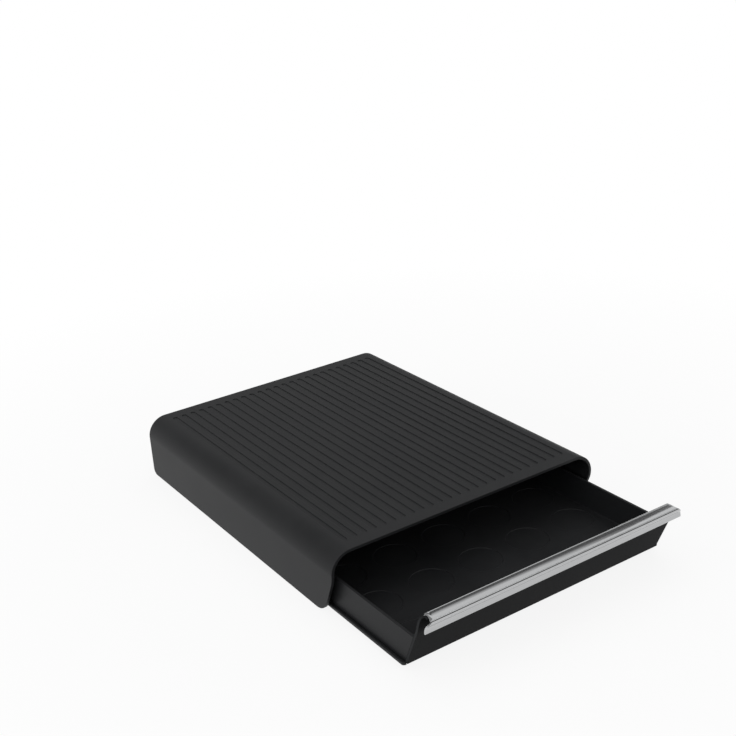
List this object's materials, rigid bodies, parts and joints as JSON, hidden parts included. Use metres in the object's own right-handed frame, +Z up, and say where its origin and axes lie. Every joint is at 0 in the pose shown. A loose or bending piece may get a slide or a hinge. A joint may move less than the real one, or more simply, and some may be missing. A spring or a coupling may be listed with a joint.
{
  "type": "coffee pod drawer",
  "caption": "Low coffee pod drawer for use under a coffee maker: a ribbed plastic cover with round long edges and a tray that slides out on guides by a metal hook handle.",
  "frame": {"origin": "the middle of the rest pose's box, on the counter under the feet", "axes": "+X to the right, seen from the front; +Y from the handle to the rear panel; +Z up"},
  "size_m": [0.2778, 0.4508, 0.0603],
  "materials": {
    "cover_plastic": "satin",
    "inner_plastic": "matte",
    "guide_plastic": "satin",
    "tray_plastic": "satin",
    "panel_plastic": "satin",
    "strip_metal": "brushed",
    "screw_steel": "zinc plated",
    "rubber": "matte"
  },
  "bodies": {
    "housing": {"housing_cover": "cover_plastic", "rear_panel": "inner_plastic", "base_plate": "inner_plastic", "guide_left": "guide_plastic", "guide_right": "guide_plastic", "guide_screws": "screw_steel", "base_screws": "screw_steel", "rear_screws": "screw_steel", "foot_front_left": "rubber", "foot_front_right": "rubber", "foot_rear_left": "rubber", "foot_rear_right": "rubber"},
    "drawer": {"drawer_tray": "tray_plastic", "runner_left": "guide_plastic", "runner_right": "guide_plastic", "front_panel": "panel_plastic", "panel_screws": "screw_steel", "handle_strip": "strip_metal", "stop_left": "guide_plastic", "stop_right": "guide_plastic", "bumper_left": "rubber", "bumper_right": "rubber"}
  },
  "joints": [
    {"name": "drawer_slide", "type": "slide", "parent": "housing", "child": "drawer", "axis": [0, -1, 0], "range_m": [-0.104, 0.146]}
  ]
}
